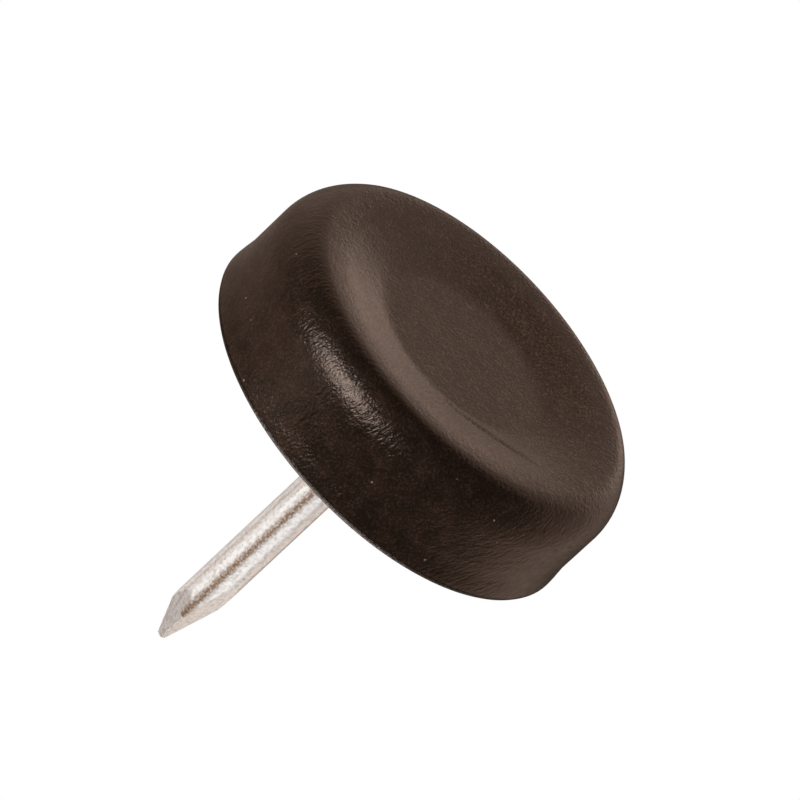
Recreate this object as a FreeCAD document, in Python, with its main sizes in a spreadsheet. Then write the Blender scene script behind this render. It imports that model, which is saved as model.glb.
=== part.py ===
import FreeCAD, Part
import os
import re

import Sketcher

# A nail-on furniture glide: a moulded plastic head with a shallow dished glide face, and the wire nail
# that it was moulded round. The glide stands on its face: that is z = 0, the nail points up, and the
# origin is on the nail's axis. Lengths are millimetres, angles degrees.

sizes = {
    # plastic head
    "head_diameter": 20.0,  # across the seat edge, the widest place
    "head_height": 5.66,  # from the rim of the glide face to the seat face
    "seat_edge_round": 0.35,  # round on the edge towards the furniture
    "seat_edge_band": 0.08,  # upright band between that round and the flare
    "wall_draw": 0.1,  # how far the side wall stands in from the seat edge
    "flare_height": 0.9,  # the stretch over which the wall widens to the seat edge
    # broad front edge: a bevel with both its ends rounded
    "bevel_height": 1.16,
    "bevel_angle": 48.5,  # between the bevel and the glide plane
    "face_edge_round": 1.15,  # where the bevel meets the rim
    "wall_foot_round": 2.5,  # where it meets the wall
    "land_width": 0.25,  # flat top of the rim, on which the glide slides
    # dish in the glide face
    "bank_angle": 13.0,  # slope of the bank between the rim and the floor
    "bank_depth": 0.7,  # how far the bank drops
    "rim_round": 3.1,  # where the rim turns down into the bank
    "foot_round": 4.9,  # where the bank runs out into the floor
    "floor_sag": 0.02,  # how much deeper the middle of the floor is
    # hollow round the nail in the seat face
    "hollow_diameter": 10.0,
    "hollow_bank": 1.2,  # width of its sloping edge
    "hollow_depth": 0.3,
    # wire nail
    "nail_diameter": 1.92,
    "nail_reach": 15.8,  # from the seat face to the tip
    "nail_head_diameter": 4.6,
    "nail_head_thickness": 0.8,
    "nail_head_bevel": 0.15,
    "nail_head_cover": 2.2,  # plastic between the glide plane and the nail's head
    "neck_width": 0.3,  # how much the shank widens towards its head, inside the plastic
    # four-facet cut point
    "tip_half_width": 0.16,  # from the axis to each facet at the very end
    "long_facet_angle": 10.0,  # between each facet and the axis
    "short_facet_angle": 15.5,
    "left_facet_angle": 14.8,
    "right_facet_angle": 11.0,
    "point_turn": -149.0,  # turn of the point about the axis
}

doc = FreeCAD.newDocument("nail_on_glide")
sheet = doc.addObject("Spreadsheet::Sheet", "Sizes")
for row, (name, value) in enumerate(sizes.items(), start=1):
    sheet.set("A%d" % row, name)
    sheet.set("B%d" % row, str(value))
    sheet.setAlias("B%d" % row, name)
doc.recompute()


# Turn the names of sizes in a formula into references to the sheet's cells.
def from_sheet(formula):
    return re.sub(r"[a-z_]+", lambda word: "Sizes." * (word.group() in sizes) + word.group(), formula)


def new_body(label):
    body = doc.addObject("PartDesign::Body", label)
    body.Label = label
    doc.recompute()
    return body


def new_sketch(body, role, name):
    plane = next(feature for feature in body.Origin.OriginFeatures if feature.Role == role)
    sketch = body.newObject("Sketcher::SketchObject", name)
    sketch.AttachmentSupport = (plane, [""])
    sketch.MapMode = "FlatFace"
    return sketch


def value_of(sketch, formula):
    return float(sketch.evalExpression(from_sheet(formula)))


# Tie a point of a sketch to its distances from the sketch's origin, across and up.
def pin_point(sketch, geometry, end, place):
    for kind, formula in zip(("DistanceX", "DistanceY"), place):
        distance = Sketcher.Constraint(kind, -1, 1, geometry, end, value_of(sketch, formula))
        number = sketch.addConstraint(distance)
        sketch.setExpression("Constraints[%d]" % number, from_sheet(formula))


# Draw a closed outline through the given corners with straight lines. With bowl, the side from the first
# corner to the second is an arc instead, with its centre on the sketch's upright axis.
def draw_outline(sketch, corners, bowl=False):
    points = [FreeCAD.Vector(*(value_of(sketch, formula) for formula in corner)) for corner in corners]
    drawn = []
    for here, there in zip(points, points[1:] + points[:1]):
        if bowl and not drawn:
            middle = (there.y**2 - here.y**2 - here.x**2) / (2 * (there.y - here.y))
            circle = Part.Circle(FreeCAD.Vector(0, middle), FreeCAD.Vector(0, 0, 1), there.y - middle)
            side = Part.ArcOfCircle(circle, circle.parameter(here), circle.parameter(there))
        else:
            side = Part.LineSegment(here, there)
        drawn.append(sketch.addGeometry(side, False))
    if bowl:
        sketch.addConstraint(Sketcher.Constraint("PointOnObject", drawn[0], 3, -2))
    for line, corner in zip(drawn, corners):
        pin_point(sketch, line, 1, corner)
    for here, after in zip(drawn, drawn[1:] + drawn[:1]):
        sketch.addConstraint(Sketcher.Constraint("Coincident", here, 2, after, 1))


def turn_outline(body, kind, name, sketch):
    feature = body.newObject(kind, name)
    feature.Profile = sketch
    feature.ReferenceAxis = (sketch, ["V_Axis"])
    feature.Angle = 360.0
    sketch.Visibility = False
    doc.recompute()
    return feature


# Round the ring-shaped edge of a turned body that came from this corner of its outline.
def round_ring(body, sketch, name, corner, size):
    base = body.Tip
    radius, height = (value_of(sketch, formula) for formula in corner)
    rings = []
    for number, edge in enumerate(base.Shape.Edges, start=1):
        if edge.Degenerated or not isinstance(edge.Curve, Part.Circle):
            continue
        if abs(edge.Curve.Radius - radius) < 0.001 and abs(edge.Curve.Center.z - height) < 0.001:
            rings.append("Edge%d" % number)
    volume = base.Shape.Volume
    fillet = body.newObject("PartDesign::Fillet", name)
    fillet.Base = (base, rings)
    fillet.setExpression("Radius", from_sheet(size))
    doc.recompute()
    if len(rings) != 1 or abs(body.Shape.Volume - volume) < 0.001:
        raise RuntimeError(name + " did not round its edge")


# Outline of the nail, from its buried head up to a plain end at the given height. The shank is a cone as far
# as the floor of the hollow, where it leaves the plastic. The head's cavity has the same outline, so the
# plastic fits the nail all round.
def nail_outline(end):
    shank = "nail_diameter / 2"
    head = "nail_head_diameter / 2"
    face = "nail_head_cover"
    underside = f"{face} + nail_head_thickness"
    return [
        ("0", face),
        (f"{head} - nail_head_bevel", face),
        (head, f"{face} + nail_head_bevel"),
        (head, f"{underside} - nail_head_bevel"),
        (f"{head} - nail_head_bevel", underside),
        (f"{shank} + neck_width", underside),
        (shank, hollow_floor),
        (shank, end),
        ("0", end),
    ]


# Plastic head: one turned outline, drawn with square corners that are rounded afterwards.
widest = "head_diameter / 2"
wall = f"{widest} - wall_draw"
seat = "head_height"
flare_top = f"{seat} - seat_edge_round - seat_edge_band"
bevel = f"{wall} - bevel_height / tan(bevel_angle * 1 deg)"
land = f"{bevel} - face_edge_round * tan(bevel_angle / 2 * 1 deg) - land_width"
rim = f"{land} - rim_round * tan(bank_angle / 2 * 1 deg)"
foot = f"{rim} - bank_depth / tan(bank_angle * 1 deg)"
hollow = "hollow_diameter / 2"
hollow_floor = f"{seat} - hollow_depth"

head = new_body("glide_head")
profile = new_sketch(head, "XZ_Plane", "HeadProfile")
draw_outline(profile, [
    # floor of the dish, a very shallow bowl
    (foot, "bank_depth"),
    ("0", "bank_depth + floor_sag"),
    # up the axis and out across the seat face
    ("0", hollow_floor),
    (f"{hollow} - hollow_bank", hollow_floor),
    (hollow, seat),
    (widest, seat),
    # down the wall, which stands in a little below the seat edge
    (widest, flare_top),
    (wall, f"{flare_top} - flare_height"),
    # over the bevel, across the rim and up the bank
    (wall, "bevel_height"),
    (bevel, "0"),
    (rim, "0"),
], bowl=True)
turn_outline(head, "PartDesign::Revolution", "Moulding", profile)
round_ring(head, profile, "WallFoot", (wall, "bevel_height"), "wall_foot_round")
round_ring(head, profile, "FaceEdge", (bevel, "0"), "face_edge_round")
round_ring(head, profile, "DishRim", (rim, "0"), "rim_round")
round_ring(head, profile, "DishFoot", (foot, "bank_depth"), "foot_round")
round_ring(head, profile, "SeatEdge", (widest, seat), "seat_edge_round")
moulding_volume = head.Shape.Volume

cavity = new_sketch(head, "XZ_Plane", "CavityProfile")
draw_outline(cavity, nail_outline(seat))
turn_outline(head, "PartDesign::Groove", "NailCavity", cavity)
if head.Shape.Volume >= moulding_volume:
    raise RuntimeError("the nail's cavity removed nothing")

# Nail: a turned blank, then two pairs of flat facets that pinch its end to a cut point.
tip = f"{seat} + nail_reach"

nail = new_body("nail")
blank = new_sketch(nail, "XZ_Plane", "NailProfile")
draw_outline(blank, nail_outline(tip))
turn_outline(nail, "PartDesign::Revolution", "Blank", blank)


# Two wedges in one sketch, one on each side of the axis, each from its facet out past the shank.
def cut_facets(role, name, angles):
    blank_volume = nail.Shape.Volume
    sketch = new_sketch(nail, role, name + "Profile")
    clear = "nail_diameter"
    for side, angle in zip(("", "-"), angles):
        start = f"{side}tip_half_width"
        far = f"{side}{clear}"
        reach = f"{tip} - ({clear} - tip_half_width) / tan({angle} * 1 deg)"
        draw_outline(sketch, [(start, tip), (far, tip), (far, reach)])
    pocket = nail.newObject("PartDesign::Pocket", name)
    pocket.Profile = sketch
    pocket.SideType = "Symmetric"
    pocket.setExpression("Length", from_sheet("nail_diameter * 2"))
    sketch.Visibility = False
    doc.recompute()
    if nail.Shape.Volume >= blank_volume:
        raise RuntimeError("the facets " + name + " cut nothing")


cut_facets("XZ_Plane", "EndFacets", ("long_facet_angle", "short_facet_angle"))
cut_facets("YZ_Plane", "SideFacets", ("left_facet_angle", "right_facet_angle"))
turn = FreeCAD.Rotation(FreeCAD.Vector(0, 0, 1), sheet.point_turn)
nail.Placement = FreeCAD.Placement(FreeCAD.Vector(), turn)

doc.recompute()
for item in doc.Objects:
    if "Invalid" in item.State or "Error" in item.State:
        raise RuntimeError("%s failed: %s" % (item.Name, item.State))

os.makedirs("parts", exist_ok=True)
for body in (head, nail):
    shape = body.Shape
    if shape.isNull() or not shape.isValid() or len(shape.Solids) != 1:
        raise RuntimeError(body.Label + " is not one sound solid")
    shape.exportStep("parts/%s.step" % body.Label)
    box = shape.optimalBoundingBox(False, False)
    print("%s: volume %.1f mm3, x %.3f to %.3f, z %.3f to %.3f" % (
        body.Label, shape.Volume, box.XMin, box.XMax, box.ZMin, box.ZMax))
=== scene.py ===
import math

import bpy
import numpy as np
from mathutils import Matrix, Vector


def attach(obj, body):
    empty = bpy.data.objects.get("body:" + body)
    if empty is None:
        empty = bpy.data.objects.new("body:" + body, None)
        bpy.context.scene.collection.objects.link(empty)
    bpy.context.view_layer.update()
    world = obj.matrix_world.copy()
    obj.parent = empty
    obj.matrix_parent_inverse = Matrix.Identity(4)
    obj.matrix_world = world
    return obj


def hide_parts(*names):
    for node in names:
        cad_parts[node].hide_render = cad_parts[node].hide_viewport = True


# A nail-on furniture glide, seen from its dished glide face. Lengths in the dictionaries are
# millimetres, and meshes are in metres. The nail points up, and the glide face lies in z = 0.

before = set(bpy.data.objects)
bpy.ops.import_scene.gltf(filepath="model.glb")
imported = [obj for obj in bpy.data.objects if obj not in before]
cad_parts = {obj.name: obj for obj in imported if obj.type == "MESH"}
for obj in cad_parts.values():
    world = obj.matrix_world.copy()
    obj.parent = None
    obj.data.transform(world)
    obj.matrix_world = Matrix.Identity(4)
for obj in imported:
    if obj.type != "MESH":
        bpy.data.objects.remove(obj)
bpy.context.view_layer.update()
mm = 0.001
imageWidth = 800  # the photograph is this many pixels wide and high
print("frame loaded")


# A closed surface from rings of points, an array with the shape (rings, columns, 3) in millimetres. Each
# ring closes on itself, neighbouring rings are joined by quads, and a fan of triangles closes each end
# at the middle of its ring. The piece stands for the CAD node of that name.
def meshFromRings(name, points, material, node):
    rings, columns, _ = points.shape
    middles = points[[0, -1]].mean(axis=1)
    vertices = np.concatenate([points.reshape(-1, 3), middles]) * mm
    ring, column = np.meshgrid(np.arange(rings - 1), np.arange(columns), indexing="ij")
    after = (column + 1) % columns
    quads = np.stack([
        ring * columns + column,
        ring * columns + after,
        (ring + 1) * columns + after,
        (ring + 1) * columns + column,
    ], axis=-1).reshape(-1, 4)
    here = np.arange(columns)
    there = (here + 1) % columns
    first = np.stack([there, here, np.full(columns, rings * columns)], axis=-1)
    lastRing = (rings - 1) * columns
    last = np.stack([
        here + lastRing, there + lastRing, np.full(columns, rings * columns + 1),
    ], axis=-1)
    mesh = bpy.data.meshes.new(name)
    mesh.from_pydata(vertices.tolist(), [], quads.tolist() + first.tolist() + last.tolist())
    mesh.polygons.foreach_set("use_smooth", np.ones(len(mesh.polygons), bool))
    mesh.update()
    mesh.materials.append(material)
    piece = bpy.data.objects.new(name, mesh)
    bpy.context.scene.collection.objects.link(piece)
    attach(piece, "root")
    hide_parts(node)


# A rounded outline: each corner is (radius from the axis, height, size of its round). A round's centre
# lies on the line that halves its corner, at the round's size divided by the sine of half the corner's
# angle, and its points lie at that size from the centre. Rounds and the straight runs between them are
# cut into steps of about the given length.
def roundedOutline(corners, step):
    places = np.array([corner[:2] for corner in corners], float)
    pieces = [places[:1]]
    for number in range(1, len(corners) - 1):
        corner = places[number]
        towards = places[number - 1] - corner
        onwards = places[number + 1] - corner
        towards /= np.linalg.norm(towards)
        onwards /= np.linalg.norm(onwards)
        half = math.acos(np.clip(towards @ onwards, -1, 1)) / 2  # half the angle inside the corner
        size = corners[number][2]
        middleLine = (towards + onwards) / np.linalg.norm(towards + onwards)
        centre = corner + middleLine * size / math.sin(half)
        turn = math.pi - 2 * half
        count = max(3, int(turn * size / step) + 2)
        angles = np.linspace(-turn / 2, turn / 2, count)
        across = (onwards - towards) / np.linalg.norm(onwards - towards)
        pieces.append(centre + size * (
            np.outer(np.sin(angles), across) - np.outer(np.cos(angles), middleLine)
        ))
    pieces.append(places[-1:])
    outline = []
    for before, following in zip(pieces, pieces[1:]):
        gap = np.linalg.norm(following[0] - before[-1])
        shares = np.linspace(0, 1, max(2, int(gap / step) + 1))[1:-1, None]
        outline += [before, before[-1] + shares * (following[0] - before[-1])]
    return np.concatenate(outline + [pieces[-1]])


# An sRGB hex colour as linear red, green, blue and alpha.
def linear(hexColour):
    parts = [int(hexColour[start:start + 2], 16) / 255 for start in (1, 3, 5)]
    return [
        part / 12.92 if part <= 0.04045 else ((part + 0.055) / 1.055) ** 2.4 for part in parts
    ] + [1.0]


# Add a node: settings are its properties, and links its inputs, each a plain value, another socket, or
# another node, which gives the first output that it has in use. Inputs that share a name go by
# number: the two colours of a mix are 6 and 7.
def addNode(tree, kind, settings=None, links=None):
    node = tree.nodes.new("ShaderNode" + kind)
    for name, value in (settings or {}).items():
        setattr(node, name, value)
    for name, value in (links or {}).items():
        if isinstance(value, bpy.types.Node):
            value = next(output for output in value.outputs if output.enabled)
        if isinstance(value, bpy.types.NodeSocket):
            tree.links.new(value, node.inputs[name])
        else:
            node.inputs[name].default_value = value
    return node


def newMaterial(name):
    material = bpy.data.materials.new(name)
    material.use_nodes = True
    material.node_tree.nodes.clear()
    return material, material.node_tree


# Low density polyethylene, injection moulded: a waxy satin skin, dark brown with a faint mottle where
# the colour flowed. Fine flow ripples and grain from the mould break reflections into specks, small pits
# are scattered over it, and a few pale specks painted into the colour are painted glints.
plastic = {
    "colour": "#1b130e",
    "mottleColour": "#261a13",
    "mottleRange": (0.35, 0.65),  # of the noise, from one colour or roughness to the other
    "roughness": 0.25,
    "smoothRoughness": 0.2,
    "specular": 0.5,
    "ior": 1.5,
    "warmLightTint": "#ffe4d4",  # reflections tinted warm in the material: a painted warmth that stands for the warm light
    # patterns: size in mm, and octaves. The real grain is finer, and is drawn as coarse as it needs to
    # show
    "noises": {
        "drift": (2.4, 1.0),  # turns the ripples aside
        "grain": (0.1, 2.0),
        "wave": (1.3, 2.0),
        "mottle": (0.9, 4.0),
        "paintedSpeckle": (0.11, 2.0),
        "sheen": (0.643, 2.0),  # patches of either roughness
    },
    "fineShare": 0.6,  # strength of each octave beside the one before
    "ripples": (0.15, 1.5),
    "rippleStretch": 0.3,  # their size along the way that they run is divided by this
    "rippleTurn": (0.0, 43.0, 116.0),  # that way, as turns about the axes in degrees
    "wander": 0.5,  # how far the drift moves them
    "rippleHeight": 0.045,
    "heights": {"grain": 0.02, "wave": 0.03},
    "dishRadius": 8.4,  # inside this radius and below the height dishTop the skin is coarser: there the painted speckle stands for its glints, and the bumps are lower
    "dishFade": 1.0,
    "dishTop": 2.0,
    "wallShare": 0.9,  # share of the heights outside the dish, and inside it
    "dishShare": 0.5,
    # painted speckle: pale specks painted into the colour for the glints of the coarser skin of the
    # dish, fewer on the wall
    "paintedSpeckleColour": "#76604f",
    "paintedSpeckleRange": (0.625, 0.825),
    "paintedSpecklePatchiness": 0.25,  # how far it follows the mottle
    "paintedSpeckleOnWall": 0.12,
    # one low straight flow line at the foot of the bank: its middle, turn in degrees, half length, half
    # width and height, and the range of the ripples' noise over which they break it up
    "flowLineMiddle": (-3.4, -3.72, 0.0),
    "flowLineTurn": -17.3,
    "flowLineReach": 3.4,
    "flowLineWidth": 0.3,
    "flowLineHeight": 0.06,
    "flowLineBreaks": (0.3, 0.55),
    # painted glints and pits: spacing and size, and share of the places that hold a painted glint, and
    # as many a pit
    "glintAndPitSpacing": 0.8,
    "glintAndPitSize": 0.05,
    "glintAndPitShare": 0.3,
    "paintedGlintColour": "#7d6c62",
    "pitDepth": 0.02,
}


def makePlastic():
    material, tree = newMaterial("mouldedPolyethylene")
    place = addNode(tree, "TexCoord").outputs["Object"]
    inMm = addNode(tree, "VectorMath", {"operation": "SCALE"}, {0: place, "Scale": 1 / mm})
    flat = addNode(tree, "VectorMath", {"operation": "MULTIPLY"}, {0: inMm, 1: (1, 1, 0)})
    radius = addNode(tree, "VectorMath", {"operation": "LENGTH"}, {0: flat})
    within = addNode(tree, "MapRange", {"interpolation_type": "SMOOTHSTEP"}, {
        "Value": radius,
        "From Min": plastic["dishRadius"],
        "From Max": plastic["dishRadius"] - plastic["dishFade"],
    })
    up = addNode(tree, "SeparateXYZ", links={"Vector": inMm}).outputs["Z"]
    below = addNode(tree, "Math", {"operation": "LESS_THAN"}, {0: up, 1: plastic["dishTop"]})
    inDish = addNode(tree, "Math", {"operation": "MULTIPLY"}, {0: within, 1: below})

    noises = {}
    for name, (size, octaves) in plastic["noises"].items():
        noises[name] = addNode(tree, "TexNoise", links={
            "Vector": inMm, "Scale": 1 / size, "Detail": octaves, "Roughness": plastic["fineShare"],
        })

    # ripples: noise drawn out along one way, in coordinates that wander slowly
    wandering = addNode(tree, "VectorMath", {"operation": "MULTIPLY_ADD"}, {
        0: noises["drift"].outputs["Color"], 1: (plastic["wander"],) * 3, 2: inMm,
    })
    along = addNode(tree, "Mapping", {"vector_type": "TEXTURE"}, {
        "Vector": wandering,
        "Rotation": tuple(math.radians(turn) for turn in plastic["rippleTurn"]),
        "Scale": (1 / plastic["rippleStretch"], 1.0, 1.0),
    })
    size, octaves = plastic["ripples"]
    ripples = addNode(tree, "TexNoise", links={
        "Vector": along, "Scale": 1 / size, "Detail": octaves, "Roughness": plastic["fineShare"],
    })
    height = addNode(tree, "Math", {"operation": "MULTIPLY"}, {0: ripples, 1: plastic["rippleHeight"]})
    for name, most in plastic["heights"].items():
        height = addNode(tree, "Math", {"operation": "MULTIPLY_ADD"}, {
            0: noises[name], 1: most, 2: height,
        })

    # painted glints and pits: a cell's point holds a pale speck painted as a glint where the cell's own
    # random number is low, and a pit where it is high
    spots = addNode(tree, "TexVoronoi", links={"Vector": inMm, "Scale": 1 / plastic["glintAndPitSpacing"]})
    nearSpot = addNode(tree, "Math", {"operation": "LESS_THAN"}, {
        0: spots.outputs["Distance"], 1: plastic["glintAndPitSize"] / plastic["glintAndPitSpacing"],
    })
    pick = addNode(tree, "SeparateColor", links={"Color": spots.outputs["Color"]})
    chosen = addNode(tree, "Math", {"operation": "LESS_THAN"}, {0: pick, 1: plastic["glintAndPitShare"]})
    paintedGlints = addNode(tree, "Math", {"operation": "MULTIPLY"}, {0: nearSpot, 1: chosen})
    chosen = addNode(tree, "Math", {"operation": "GREATER_THAN"}, {0: pick, 1: 1 - plastic["glintAndPitShare"]})
    pits = addNode(tree, "Math", {"operation": "MULTIPLY"}, {0: nearSpot, 1: chosen})
    height = addNode(tree, "Math", {"operation": "MULTIPLY_ADD"}, {
        0: pits, 1: -plastic["pitDepth"], 2: height,
    })
    share = addNode(tree, "MapRange", links={
        "Value": inDish, "To Min": plastic["wallShare"], "To Max": plastic["dishShare"],
    })
    height = addNode(tree, "Math", {"operation": "MULTIPLY"}, {0: height, 1: share})

    # the flow line: a short straight ridge, broken up by the ripples
    beside = addNode(tree, "Mapping", {"vector_type": "TEXTURE"}, {
        "Vector": inMm,
        "Location": plastic["flowLineMiddle"],
        "Rotation": (0.0, 0.0, math.radians(plastic["flowLineTurn"])),
    })
    away = addNode(tree, "SeparateXYZ", links={"Vector": beside}).outputs
    low, high = plastic["flowLineBreaks"]
    ridge = addNode(tree, "MapRange", links={
        "Value": ripples, "From Min": low, "From Max": high, "To Max": plastic["flowLineHeight"],
    })
    ridge = addNode(tree, "Math", {"operation": "MULTIPLY"}, {0: ridge, 1: below})
    for way, reach in (("X", plastic["flowLineReach"]), ("Y", plastic["flowLineWidth"])):
        off = addNode(tree, "Math", {"operation": "ABSOLUTE"}, {0: away[way]})
        near = addNode(tree, "MapRange", {"interpolation_type": "SMOOTHSTEP"}, {
            "Value": off, "From Min": reach, "From Max": 0.0,
        })
        ridge = addNode(tree, "Math", {"operation": "MULTIPLY"}, {0: ridge, 1: near})
    height = addNode(tree, "Math", {"operation": "ADD"}, {0: height, 1: ridge})
    bump = addNode(tree, "Bump", links={"Height": height, "Distance": mm, "Strength": 1.0})

    # colour: the mottle, and over it pale specks painted as glints: the painted speckle and the
    # scattered painted glints
    mottleLow, mottleHigh = plastic["mottleRange"]
    contrast = addNode(tree, "MapRange", links={
        "Value": noises["mottle"], "From Min": mottleLow, "From Max": mottleHigh,
    })
    colour = addNode(tree, "Mix", {"data_type": "RGBA"}, {
        "Factor": contrast, 6: linear(plastic["colour"]), 7: linear(plastic["mottleColour"]),
    })
    # painted speckle: pale specks painted into the colour as glints, thickest in the dish
    patchy = addNode(tree, "Math", {"operation": "MULTIPLY_ADD"}, {
        0: noises["mottle"], 1: plastic["paintedSpecklePatchiness"], 2: noises["paintedSpeckle"],
    })
    low, high = plastic["paintedSpeckleRange"]
    specks = addNode(tree, "MapRange", links={"Value": patchy, "From Min": low, "From Max": high})
    paintedSpeckleShare = addNode(tree, "MapRange", links={"Value": inDish, "To Min": plastic["paintedSpeckleOnWall"]})
    paintedSpeckle = addNode(tree, "Math", {"operation": "MULTIPLY"}, {0: specks, 1: paintedSpeckleShare})
    colour = addNode(tree, "Mix", {"data_type": "RGBA"}, {
        "Factor": paintedSpeckle, 6: colour, 7: linear(plastic["paintedSpeckleColour"]),
    })
    # pale specks painted into the colour as glints
    colour = addNode(tree, "Mix", {"data_type": "RGBA"}, {
        "Factor": paintedGlints, 6: colour, 7: linear(plastic["paintedGlintColour"]),
    })
    roughness = addNode(tree, "MapRange", links={
        "Value": noises["sheen"], "From Min": mottleLow, "From Max": mottleHigh,
        "To Min": plastic["smoothRoughness"], "To Max": plastic["roughness"],
    })
    shader = addNode(tree, "BsdfPrincipled", links={
        "Base Color": colour,
        "Roughness": roughness,
        "Specular IOR Level": plastic["specular"],
        "Specular Tint": linear(plastic["warmLightTint"]),
        "IOR": plastic["ior"],
        "Normal": bump,
    })
    addNode(tree, "OutputMaterial", links={"Surface": shader})
    return material


# Zinc plated steel wire, drawn and then barrel plated: a pale satin coat, blotched where the zinc grew
# unevenly, with long fine drawing lines, and brown strips down the shank that are a painted dark
# reflection.
zinc = {
    "colour": "#f3f2f1",
    "dullColour": "#dfdbd7",
    "roughness": 0.4,
    # patterns: size in mm, octaves, and how many times as long they are along the wire
    "noises": {
        "lines": (0.12, 3.0, 12.0),
        "blotches": (0.17, 4.0, 1.0),
        "drift": (1.0, 1.0, 12.0),  # turns the painted stripes aside
        "specks": (0.12, 3.0, 1.0),
    },
    "lineHeight": 0.0025,
    "blotchHeight": 0.001,
    "blotchRange": (0.42, 0.64),  # of the noise, from pale to dull
    # stains: brownish dashes where a line crosses a blotch, each from its own range of the noise
    "stainColour": "#a8988a",
    "stainLines": (0.56, 0.68),
    "stainBlotches": (0.45, 0.55),
    "stainStrength": 0.4,
    # painted stripes of brown dark reflection: place about the axis and reach to each side in degrees,
    # and strength
    "paintedStripes": [(-85.0, 25.0, 1.0), (-36.0, 9.0, 0.4)],
    "paintedStripeWander": 10.0,  # degrees
    "paintedStripeEnd": 19.6,  # height, above which the facets have no painted stripes
    "paintedStripeColour": "#957456",
    "paintedStripeDensity": 0.22,  # how much closer the specks stand in the middle of a painted stripe
    "paintedStripeBreaks": (0.4, 0.8),  # range of the specks' noise over which they break it up
}


def makeZinc():
    material, tree = newMaterial("zincPlatedWire")
    place = addNode(tree, "TexCoord").outputs["Object"]
    inMm = addNode(tree, "VectorMath", {"operation": "SCALE"}, {0: place, "Scale": 1 / mm})
    noises = {}
    for name, (size, octaves, stretch) in zinc["noises"].items():
        drawn = addNode(tree, "VectorMath", {"operation": "MULTIPLY"}, {0: inMm, 1: (1, 1, 1 / stretch)})
        noises[name] = addNode(tree, "TexNoise", links={
            "Vector": drawn, "Scale": 1 / size, "Detail": octaves,
        })

    low, high = zinc["blotchRange"]
    dull = addNode(tree, "MapRange", {"interpolation_type": "SMOOTHSTEP"}, {
        "Value": noises["blotches"], "From Min": low, "From Max": high,
    })
    colour = addNode(tree, "Mix", {"data_type": "RGBA"}, {
        "Factor": dull, 6: linear(zinc["colour"]), 7: linear(zinc["dullColour"]),
    })
    low, high = zinc["stainLines"]
    inLine = addNode(tree, "MapRange", links={
        "Value": noises["lines"], "From Min": low, "From Max": high, "To Max": zinc["stainStrength"],
    })
    low, high = zinc["stainBlotches"]
    inBlotch = addNode(tree, "MapRange", links={
        "Value": noises["blotches"], "From Min": low, "From Max": high,
    })
    stained = addNode(tree, "Math", {"operation": "MULTIPLY"}, {0: inLine, 1: inBlotch})
    colour = addNode(tree, "Mix", {"data_type": "RGBA"}, {
        "Factor": stained, 6: colour, 7: linear(zinc["stainColour"]),
    })

    # each painted stripe of dark reflection is a strip about the axis that wanders a little and is
    # broken into specks
    parts = addNode(tree, "SeparateXYZ", links={"Vector": inMm}).outputs
    turn = addNode(tree, "Math", {"operation": "ARCTAN2"}, {0: parts["Y"], 1: parts["X"]})
    angle = addNode(tree, "Math", {"operation": "DEGREES"}, {0: turn})
    angle = addNode(tree, "Math", {"operation": "MULTIPLY_ADD"}, {
        0: noises["drift"], 1: zinc["paintedStripeWander"], 2: angle,
    })
    onShank = addNode(tree, "Math", {"operation": "LESS_THAN"}, {0: parts["Z"], 1: zinc["paintedStripeEnd"]})
    low, high = zinc["paintedStripeBreaks"]
    for middle, reach, strength in zinc["paintedStripes"]:
        aside = addNode(tree, "Math", {"operation": "SUBTRACT"}, {0: angle, 1: middle})
        away = addNode(tree, "Math", {"operation": "ABSOLUTE"}, {0: aside})
        strip = addNode(tree, "MapRange", {"interpolation_type": "SMOOTHSTEP"}, {
            "Value": away, "From Min": reach, "From Max": 0.0,
        })
        dense = addNode(tree, "Math", {"operation": "MULTIPLY_ADD"}, {
            0: strip, 1: zinc["paintedStripeDensity"], 2: noises["specks"],
        })
        broken = addNode(tree, "MapRange", {"interpolation_type": "SMOOTHSTEP"}, {
            "Value": dense, "From Min": low, "From Max": high, "To Max": strength,
        })
        paintedStripe = addNode(tree, "Math", {"operation": "MULTIPLY"}, {0: broken, 1: strip})
        paintedStripe = addNode(tree, "Math", {"operation": "MULTIPLY"}, {0: paintedStripe, 1: onShank})
        # the painted dark reflection, brown, over the colour
        colour = addNode(tree, "Mix", {"data_type": "RGBA"}, {
            "Factor": paintedStripe, 6: colour, 7: linear(zinc["paintedStripeColour"]),
        })

    height = addNode(tree, "Math", {"operation": "MULTIPLY"}, {
        0: noises["lines"], 1: zinc["lineHeight"],
    })
    height = addNode(tree, "Math", {"operation": "MULTIPLY_ADD"}, {
        0: noises["blotches"], 1: zinc["blotchHeight"], 2: height,
    })
    bump = addNode(tree, "Bump", links={"Height": height, "Distance": mm, "Strength": 1.0})
    shader = addNode(tree, "BsdfPrincipled", links={
        "Base Color": colour,
        "Metallic": 1.0,
        "Roughness": zinc["roughness"],
        "Normal": bump,
    })
    addNode(tree, "OutputMaterial", links={"Surface": shader})
    return material


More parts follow.
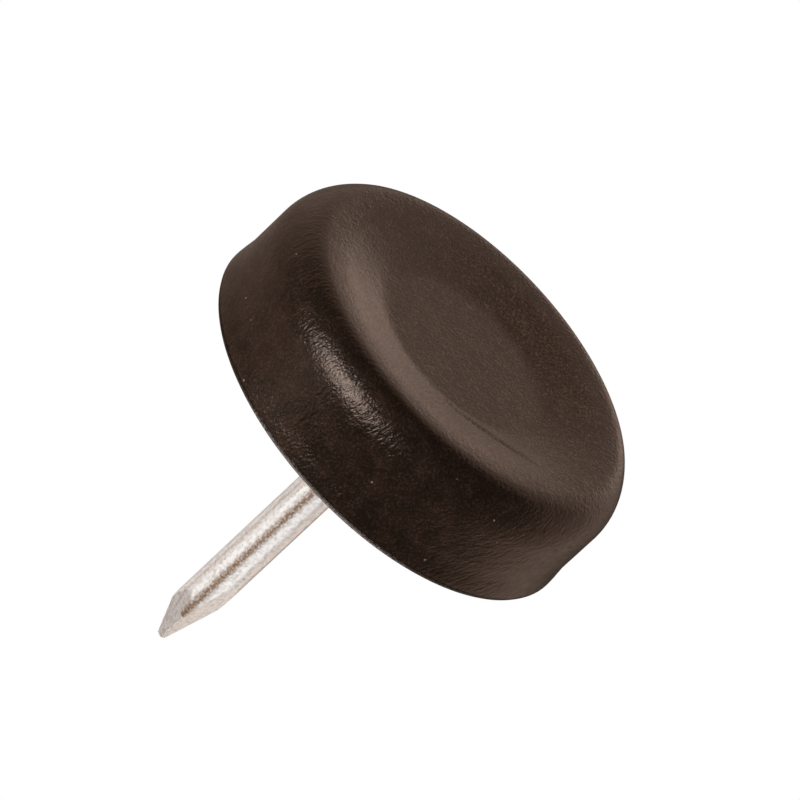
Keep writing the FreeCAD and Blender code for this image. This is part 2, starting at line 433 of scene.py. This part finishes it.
head = {
    "columns": 256,
    "step": 0.09,  # about the length of the outline's steps
    "poleRadius": 0.02,  # the first ring closes the floor of the dish at the axis
    # radius from the axis, height, size of the round
    "outline": [
        (0.0, 0.72, 0),
        (2.6, 0.715, 30.0),
        (4.50, 0.70, 4.0),  # foot of the bank
        (7.62, 0.0, 6.6),  # rim
        (8.87, 0.0, 1.15),  # broad front edge
        (9.9, 1.16, 2.5),
        (9.9, 4.33, 3.0),  # the wall widens from here
        (10.0, 5.23, 3.0),
        (10.0, 5.66, 0.35),  # seat edge
        (5.0, 5.66, 1.0),
        (3.8, 5.36, 1.0),
        (0.96, 5.36, 0.05),  # round the nail
        (1.26, 3.0, 0.05),
        (2.15, 3.0, 0.02),
        (2.3, 2.85, 0.02),
        (2.3, 2.35, 0.02),
        (2.15, 2.2, 0.02),
        (0.02, 2.2, 0),
    ],
}


# Turned form: x is the outline's radius times the cosine of the angle, y is the radius times its sine,
# and z is the outline's height.
def makeHead(material):
    outline = roundedOutline(head["outline"], head["step"])
    outline[0, 0] = head["poleRadius"]
    angles = np.linspace(0, 2 * np.pi, head["columns"], endpoint=False)
    radius, height = outline.T
    points = np.stack([
        np.outer(radius, np.cos(angles)),
        np.outer(radius, np.sin(angles)),
        np.repeat(height[:, None], head["columns"], axis=1),
    ], axis=-1)
    meshFromRings("headMoulding", points[:, ::-1], material, "glide_head")


nail = {
    "columns": 240,
    "radius": 0.96,
    # buried in the plastic, the head and the shank up to the floor of the hollow: radius, height, round
    "buried": [
        (0.02, 2.2, 0),
        (2.15, 2.2, 0.02),
        (2.3, 2.35, 0.02),
        (2.3, 2.85, 0.02),
        (2.15, 3.0, 0.02),
        (1.26, 3.0, 0.02),
        (0.96, 5.36, 0),
    ],
    "buriedStep": 0.15,
    # heights: where the nail leaves the plastic, where its rings get closer for the point, and its end
    "hollowFloor": 5.36,
    "pointFrom": 16.7,
    "tip": 21.46,
    "shankRings": 40,
    "pointRings": 200,
    "tipHalf": 0.16,  # from the axis to each facet at the very end
    # facets of the cut point: direction about the axis, angle to the axis, in degrees
    "facets": [(-149.0, 10.0), (31.0, 15.5), (-59.0, 14.8), (121.0, 11.0)],
    "edgeRound": 0.012,  # between two facets
    "leastFacing": 0.05,  # a facet counts where the cosine of the angle to it is above this
    "outOfReach": 9.0,  # distance of a facet that doesn't count
}


# Nail: rings up the axis. In the plastic each ring is the outline's circle. Above it a ring is the
# shank's circle cut by four planes, so its radius in a direction is the smallest of the shank's radius
# and each plane's distance divided by the cosine of the angle to it. The smallest is softened: minus
# the round times the logarithm of the sum of exponentials of minus each value over the round.
def makeNail(material):
    buried = roundedOutline(nail["buried"], nail["buriedStep"])
    heights = np.concatenate([
        np.linspace(nail["hollowFloor"], nail["pointFrom"], nail["shankRings"])[1:],
        np.linspace(nail["pointFrom"], nail["tip"], nail["pointRings"])[1:],
    ])
    angles = np.linspace(0, 2 * np.pi, nail["columns"], endpoint=False)
    candidates = [np.full((len(heights), len(angles)), nail["radius"])]
    for direction, slope in nail["facets"]:
        distance = nail["tipHalf"] + (nail["tip"] - heights) * math.tan(math.radians(slope))
        facing = np.cos(angles - math.radians(direction))
        reach = distance[:, None] / np.maximum(facing, nail["leastFacing"])
        candidates.append(np.where(facing > nail["leastFacing"], reach, nail["outOfReach"]))
    candidates = np.stack(candidates)
    smallest = candidates.min(axis=0)
    soft = nail["edgeRound"]
    radius = smallest - soft * np.log(np.exp(-(candidates - smallest) / soft).sum(axis=0))
    buriedRadius = np.repeat(buried[:, :1], len(angles), axis=1)
    radius = np.concatenate([buriedRadius, radius])
    height = np.concatenate([buried[:, 1], heights])
    points = np.stack([
        radius * np.cos(angles),
        radius * np.sin(angles),
        np.repeat(height[:, None], len(angles), axis=1),
    ], axis=-1)
    meshFromRings("wireNail", points, material, "nail")


view = {
    "lean": 63.02,  # between the way to the camera and the way that the dished face looks
    "roll": 43.1,  # how far the nail's picture leans from level
    "anchor": (0.0, 0.0, 2.76),  # this point of the glide shows at the pixel below
    "anchorPixel": (432.2, 381.6),
    "pixelsPerMm": 22.75,
    "distance": 333.3,  # from the camera to the point that it aims at
    "sensor": 36.0,
    "clip": (10.0, 10000.0),
}


# The camera stands back along the way from the aimed point. Its right and up are the nail's way and the
# way across it, turned by the roll.
def makeCamera():
    lean, roll = math.radians(view["lean"]), math.radians(view["roll"])
    back = Vector((0, -math.sin(lean), -math.cos(lean)))
    axisWay = Vector((0, math.cos(lean), -math.sin(lean)))
    crossWay = Vector((-1, 0, 0))
    right = axisWay * math.cos(roll) + crossWay * math.sin(roll)
    up = axisWay * math.sin(roll) - crossWay * math.cos(roll)
    column, row = view["anchorPixel"]
    toRight = (column - imageWidth / 2) / view["pixelsPerMm"]
    toTop = (imageWidth / 2 - row) / view["pixelsPerMm"]
    aim = Vector(view["anchor"]) - right * toRight - up * toTop
    camera = bpy.data.cameras.new("camera")
    camera.sensor_width = view["sensor"]
    camera.lens = view["pixelsPerMm"] * view["distance"] * view["sensor"] / imageWidth
    camera.clip_start, camera.clip_end = (limit * mm for limit in view["clip"])
    holder = bpy.data.objects.new("camera", camera)
    bpy.context.scene.collection.objects.link(holder)
    turn = Matrix((right, up, back)).transposed()
    holder.matrix_world = Matrix.Translation((aim + back * view["distance"]) * mm) @ turn.to_4x4()
    bpy.context.scene.camera = holder
    return right, up, back


studio = {
    "floorSize": 6000.0,
    "floorColour": "#efeeec",
    "background": "#ffffff",  # what the camera sees behind the object
    "ambient": 0.3,  # what the surroundings give to matt surfaces
    # what shiny surfaces see, painted one patch over another. Ways from the object are given by the
    # angle from the camera's way and by the turn in the picture, which is 0 to the right and 90 upwards
    "gloss": 1.4,  # how many times brighter than their colours the surroundings are
    "front": "#231b17",
    # way, angle to which the patch is full, angle at which it ends, colour
    "patches": [
        ((180, 0), 70, 108, "#a18c7f"),  # pale room behind the object
        ((125, 150), 15, 50, "#7b6b60"),
        ((180, 0), 5, 34, "#332a24"),
        ((150, -137), 12, 42, "#332a24"),
        ((166, 138), 4, 13, "#7d6d63"),
        ((107, 30), 4, 20, "#b8a295"),
        ((128, 29), 3, 10, "#63524a"),
        ((133, 12), 6, 19, "#c3ad9f"),
        ((127, -62), 8, 29, "#b29c8e"),
        ((162, -51), 4, 15, "#40352e"),
        ((145, 31), 6, 13, "#efd1bf"),
        ((147, 54), 3, 10, "#b9a090"),
        ((70, 178), 7, 18, "#c6bdb5"),  # card at the left
        ((103, -176), 3, 13, "#8a8887"),
    ],
    # name, what it lights, place that its way and distance start from, way, distance, width, height,
    # brightness in a mirror, where 1 is white, and colour
    "lamps": [
        ("key", "all", (0, 0, 3), (32, 151), 300.0, 205.0, 135.0, 5.2, "#ffffff"),
        ("keyCore", "all", (0, 0, 3), (26, 143), 300.0, 90.0, 60.0, 9.0, "#ffffff"),
        ("top", "all", (0, 0, 0), (117, -137), 400.0, 300.0, 300.0, 2.1, "#ffffff"),
        ("floorLamp", "floor", (0, 0, 0), (117, -137), 400.0, 300.0, 300.0, 1.8, "#ffffff"),
        # white cards beside the nail
        ("lowCard", "wireNail", (0, 0, 14), (73, -93), 30.0, 22.0, 16.0, 1.35, "#ffffff"),
        ("midCard", "wireNail", (0, 0, 14), (54, -137), 32.0, 30.0, 17.0, 0.85, "#ffffff"),
        ("leftCard", "wireNail", (0, 0, 14), (74, 175), 30.0, 24.0, 20.0, 0.54, "#ffffff"),
        ("highCard", "wireNail", (0, 0, 14), (120, 150), 30.0, 32.0, 24.0, 0.55, "#ffffff"),
        ("rightCard", "wireNail", (0, 0, 14), (114, -66), 30.0, 24.0, 22.0, 0.38, "#dcf0f6"),
        ("tipCard", "wireNail", (0, 0, 20), (136, -71), 20.0, 11.0, 10.0, 0.2, "#e0f0f4"),
    ],
}


# Way from the object, from its angle to the camera's way and its turn in the picture.
def wayTo(sides, angle, turn):
    right, up, back = sides
    angle, turn = math.radians(angle), math.radians(turn)
    across = right * math.cos(turn) + up * math.sin(turn)
    return back * math.cos(angle) + across * math.sin(angle)


def makeStudio(sides):
    world = bpy.data.worlds.new("studio")
    bpy.context.scene.world = world
    world.use_nodes = True
    tree = world.node_tree
    tree.nodes.clear()
    rays = addNode(tree, "LightPath").outputs
    look = addNode(tree, "TexCoord").outputs["Generated"]
    seen = linear(studio["front"])
    for way, full, end, hexColour in studio["patches"]:
        facing = addNode(tree, "VectorMath", {"operation": "DOT_PRODUCT"}, {
            0: look, 1: wayTo(sides, *way),
        })
        shade = addNode(tree, "MapRange", {"interpolation_type": "SMOOTHSTEP"}, {
            "Value": facing,
            "From Min": math.cos(math.radians(end)),
            "From Max": math.cos(math.radians(full)),
        })
        seen = addNode(tree, "Mix", {"data_type": "RGBA"}, {
            "Factor": shade, 6: seen, 7: linear(hexColour),
        })
    glossy = addNode(tree, "VectorMath", {"operation": "SCALE"}, {0: seen, "Scale": studio["gloss"]})
    matt = addNode(tree, "Mix", {"data_type": "RGBA"}, {
        "Factor": rays["Is Glossy Ray"], 6: (studio["ambient"],) * 3 + (1,), 7: glossy,
    })
    direct = addNode(tree, "Math", {"operation": "MAXIMUM"}, {
        0: rays["Is Camera Ray"], 1: rays["Is Transmission Ray"],
    })
    colour = addNode(tree, "Mix", {"data_type": "RGBA"}, {
        "Factor": direct, 6: matt, 7: linear(studio["background"]),
    })
    surroundings = addNode(tree, "Background", links={"Color": colour})
    addNode(tree, "OutputWorld", links={"Surface": surroundings})

    # the floor shows from above only, and the lamps' light passes it, because the photograph looks up
    # at the glide face. It is made before the lamps, because one of them lights it alone
    half = studio["floorSize"] / 2 * mm
    mesh = bpy.data.meshes.new("floor")
    corners = [(-half, -half, 0), (half, -half, 0), (half, half, 0), (-half, half, 0)]
    mesh.from_pydata(corners, [], [(0, 1, 2, 3)])
    floor = bpy.data.objects.new("floor", mesh)
    bpy.context.scene.collection.objects.link(floor)
    floor.visible_shadow = False
    floor.visible_glossy = False
    material, tree = newMaterial("paintedFloor")
    paint = addNode(tree, "BsdfDiffuse", links={"Color": linear(studio["floorColour"])})
    clear = addNode(tree, "BsdfTransparent")
    under = addNode(tree, "NewGeometry").outputs["Backfacing"]
    mix = addNode(tree, "MixShader", links={0: under, 1: paint, 2: clear})
    addNode(tree, "OutputMaterial", links={"Surface": mix})
    mesh.materials.append(material)

    for name, lit, place, way, distance, width, height, brightness, hexColour in studio["lamps"]:
        lamp = bpy.data.lights.new(name, "AREA")
        lamp.shape = "RECTANGLE"
        lamp.size, lamp.size_y = width * mm, height * mm
        lamp.energy = brightness * math.pi * lamp.size * lamp.size_y
        lamp.color = linear(hexColour)[:3]
        holder = bpy.data.objects.new(name, lamp)
        holder.visible_camera = False
        bpy.context.scene.collection.objects.link(holder)
        if lit != "all":
            holder.light_linking.receiver_collection = bpy.data.collections.new(name + "Lights")
            holder.light_linking.receiver_collection.objects.link(bpy.data.objects[lit])
        direction = wayTo(sides, *way)
        holder.location = (Vector(place) + direction * distance) * mm
        holder.rotation_mode = "QUATERNION"
        holder.rotation_quaternion = direction.to_track_quat("Z", "Y")


bpy.context.scene.view_settings.view_transform = "Standard"
makeHead(makePlastic())
print("head made")
makeNail(makeZinc())
print("nail made")
makeStudio(makeCamera())
print("camera and studio made")
